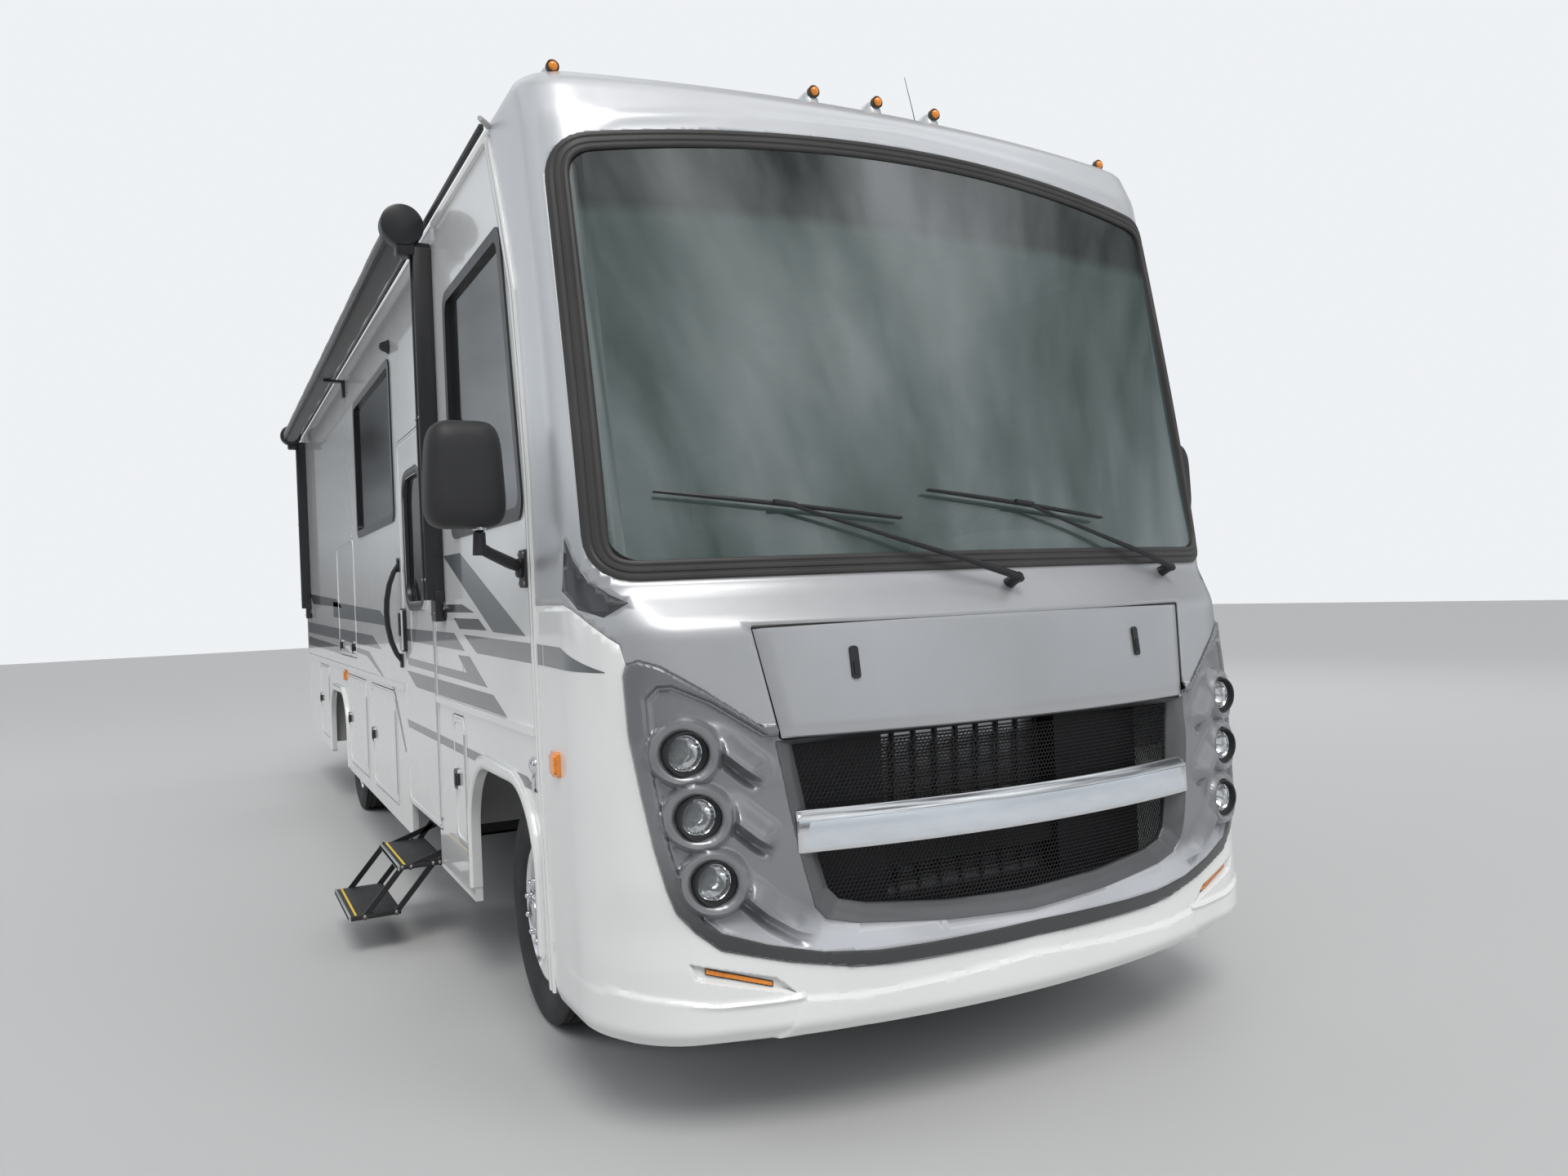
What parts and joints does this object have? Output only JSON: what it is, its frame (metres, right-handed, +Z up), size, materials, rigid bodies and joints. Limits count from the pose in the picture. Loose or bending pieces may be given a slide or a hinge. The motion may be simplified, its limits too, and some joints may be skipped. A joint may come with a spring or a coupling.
{
  "type": "motorhome",
  "caption": "One-box motorhome coach with curved windscreen front, twin rear wheels, hinged entry and storage doors, side awning, lowered entry steps and a sliding room",
  "frame": {"origin": "on the ground under the middle of the overall box", "axes": "+X towards the driver's side, +Y towards the rear, +Z up"},
  "size_m": [3.315, 9.4644, 3.712],
  "materials": {
    "white_paint": "glossy white gelcoat",
    "silver_paint": "glossy silver metallic",
    "chassis_black": "satin black chassis paint",
    "bare_steel": "grey steel",
    "cast": "dull grey casting",
    "aluminium": "satin aluminium",
    "chrome": "polished",
    "tyre": "matte black rubber",
    "rubber": "ribbed black rubber",
    "black_plastic": "grained black plastic",
    "grey_plastic": "light grey moulding",
    "cream_plastic": "weathered white moulding",
    "clear_glass": "green tinted glass",
    "dark_glass": "dark tinted glass",
    "lamp": "clear lens over bright reflector",
    "amber_lens": "amber lens",
    "red_lens": "red lens",
    "fabric": "black awning fabric",
    "leather": "grey seat vinyl",
    "wood": "brown cabinet board"
  },
  "bodies": {
    "coach": {"chassis_frame": "chassis_black", "engine_block": "cast", "radiator": "aluminium", "front_axle": "chassis_black", "rear_axle": "chassis_black", "exhaust": "bare_steel", "service_tanks": "black_plastic", "tow_hitch": "chassis_black", "right_wall": "white_paint", "left_wall": "white_paint", "side_skirts": "white_paint", "floor": "grey_plastic", "storage_boxes_curb": "grey_plastic", "storage_boxes_road": "grey_plastic", "roof": "white_paint", "roof_units": "cream_plastic", "rear_cap": "white_paint", "front_cap": "white_paint", "windshield_seal": "rubber", "windshield": "clear_glass", "grille": "black_plastic", "headlamps": "lamp", "marker_lamps": "amber_lens", "tail_lamps": "red_lens", "side_mirrors": "black_plastic", "wipers": "black_plastic", "window_frames": "black_plastic", "window_glass": "dark_glass", "awning_frame": "black_plastic", "awning_roll": "fabric", "entry_steps": "chassis_black", "body_trim": "white_paint", "dashboard": "grey_plastic", "cab_seats": "leather", "cabin_furniture": "wood", "grab_handle": "black_plastic"},
    "steer_left": {"knuckle_left": "cast"},
    "steer_right": {"knuckle_right": "cast"},
    "roll_front_left": {"front_wheel_left": "chrome", "front_tyre_left": "tyre"},
    "roll_front_right": {"front_wheel_right": "chrome", "front_tyre_right": "tyre"},
    "roll_rear_left": {"rear_wheels_left": "chrome", "rear_tyres_left": "tyre"},
    "roll_rear_right": {"rear_wheels_right": "chrome", "rear_tyres_right": "tyre"},
    "helm": {"steering_wheel": "black_plastic"},
    "entry": {"entry_door": "white_paint", "entry_door_glass": "dark_glass"},
    "hood": {"hood_panel": "silver_paint"},
    "utility": {"utility_door": "white_paint"},
    "storage_1": {"storage_door_1": "white_paint"},
    "storage_2": {"storage_door_2": "white_paint"},
    "storage_3": {"storage_door_3": "white_paint"},
    "storage_4": {"storage_door_4": "white_paint"},
    "storage_5": {"storage_door_5": "white_paint"},
    "media": {"media_door": "white_paint"},
    "slide": {"slide_room": "white_paint", "slide_frames": "black_plastic", "slide_glass": "dark_glass"}
  },
  "joints": [
    {"name": "steering_left", "type": "hinge", "parent": "coach", "child": "steer_left", "pos_m": [0.9575, -3.26715, 0.419], "axis": [0, 0, 1], "range_deg": [-45, 45]},
    {"name": "steering_right", "type": "hinge", "parent": "coach", "child": "steer_right", "pos_m": [-0.8925, -3.26715, 0.419], "axis": [0, 0, 1], "range_deg": [-45, 45]},
    {"name": "wheel_front_left", "type": "hinge", "parent": "steer_left", "child": "roll_front_left", "pos_m": [1.0705, -3.26715, 0.419], "axis": [1, 0, 0], "continuous": true},
    {"name": "wheel_front_right", "type": "hinge", "parent": "steer_right", "child": "roll_front_right", "pos_m": [-1.0055, -3.26715, 0.419], "axis": [1, 0, 0], "continuous": true},
    {"name": "wheels_rear_left", "type": "hinge", "parent": "coach", "child": "roll_rear_left", "pos_m": [0.93, 2.01585, 0.419], "axis": [1, 0, 0], "continuous": true},
    {"name": "wheels_rear_right", "type": "hinge", "parent": "coach", "child": "roll_rear_right", "pos_m": [-0.865, 2.01585, 0.419], "axis": [1, 0, 0], "continuous": true},
    {"name": "steering_wheel_turn", "type": "hinge", "parent": "coach", "child": "helm", "pos_m": [0.5925, -3.65215, 1.74], "axis": [0, 0.6428, 0.766], "range_deg": [-640, 640]},
    {"name": "entry_door_hinge", "type": "hinge", "parent": "coach", "child": "entry", "pos_m": [-1.254, -2.10715, 1.5], "axis": [0, 0, 1], "range_deg": [0, 120]},
    {"name": "hood_hinge", "type": "hinge", "parent": "coach", "child": "hood", "pos_m": [0.0325, -4.70215, 1.156], "axis": [1, 0, 0], "range_deg": [0, 80]},
    {"name": "utility_door_hinge", "type": "hinge", "parent": "coach", "child": "utility", "pos_m": [-1.254, -2.68715, 0.83], "axis": [0, 0, 1], "range_deg": [0, 110]},
    {"name": "storage_door_1_hinge", "type": "hinge", "parent": "coach", "child": "storage_1", "pos_m": [-1.254, -0.84715, 0.79], "axis": [0, 0, 1], "range_deg": [0, 110]},
    {"name": "storage_door_2_hinge", "type": "hinge", "parent": "coach", "child": "storage_2", "pos_m": [-1.254, 0.35285, 0.79], "axis": [0, 0, 1], "range_deg": [0, 110]},
    {"name": "storage_door_3_hinge", "type": "hinge", "parent": "coach", "child": "storage_3", "pos_m": [-1.254, 2.67285, 0.79], "axis": [0, 0, 1], "range_deg": [0, 110]},
    {"name": "storage_door_4_hinge", "type": "hinge", "parent": "coach", "child": "storage_4", "pos_m": [1.319, -2.42715, 0.79], "axis": [0, 0, -1], "range_deg": [0, 110]},
    {"name": "storage_door_5_hinge", "type": "hinge", "parent": "coach", "child": "storage_5", "pos_m": [1.319, 2.67285, 0.79], "axis": [0, 0, -1], "range_deg": [0, 110]},
    {"name": "media_door_hinge", "type": "hinge", "parent": "coach", "child": "media", "pos_m": [-1.254, 1.28785, 2.055], "axis": [0, 1, 0], "range_deg": [0, 90]},
    {"name": "slide_out", "type": "slide", "parent": "coach", "child": "slide", "axis": [1, 0, 0], "range_m": [0, 0.7]}
  ],
  "couplings": [
    {"joint": "steering_right", "follows": "steering_left", "ratio": 1},
    {"joint": "steering_wheel_turn", "follows": "steering_left", "ratio": 14}
  ]
}
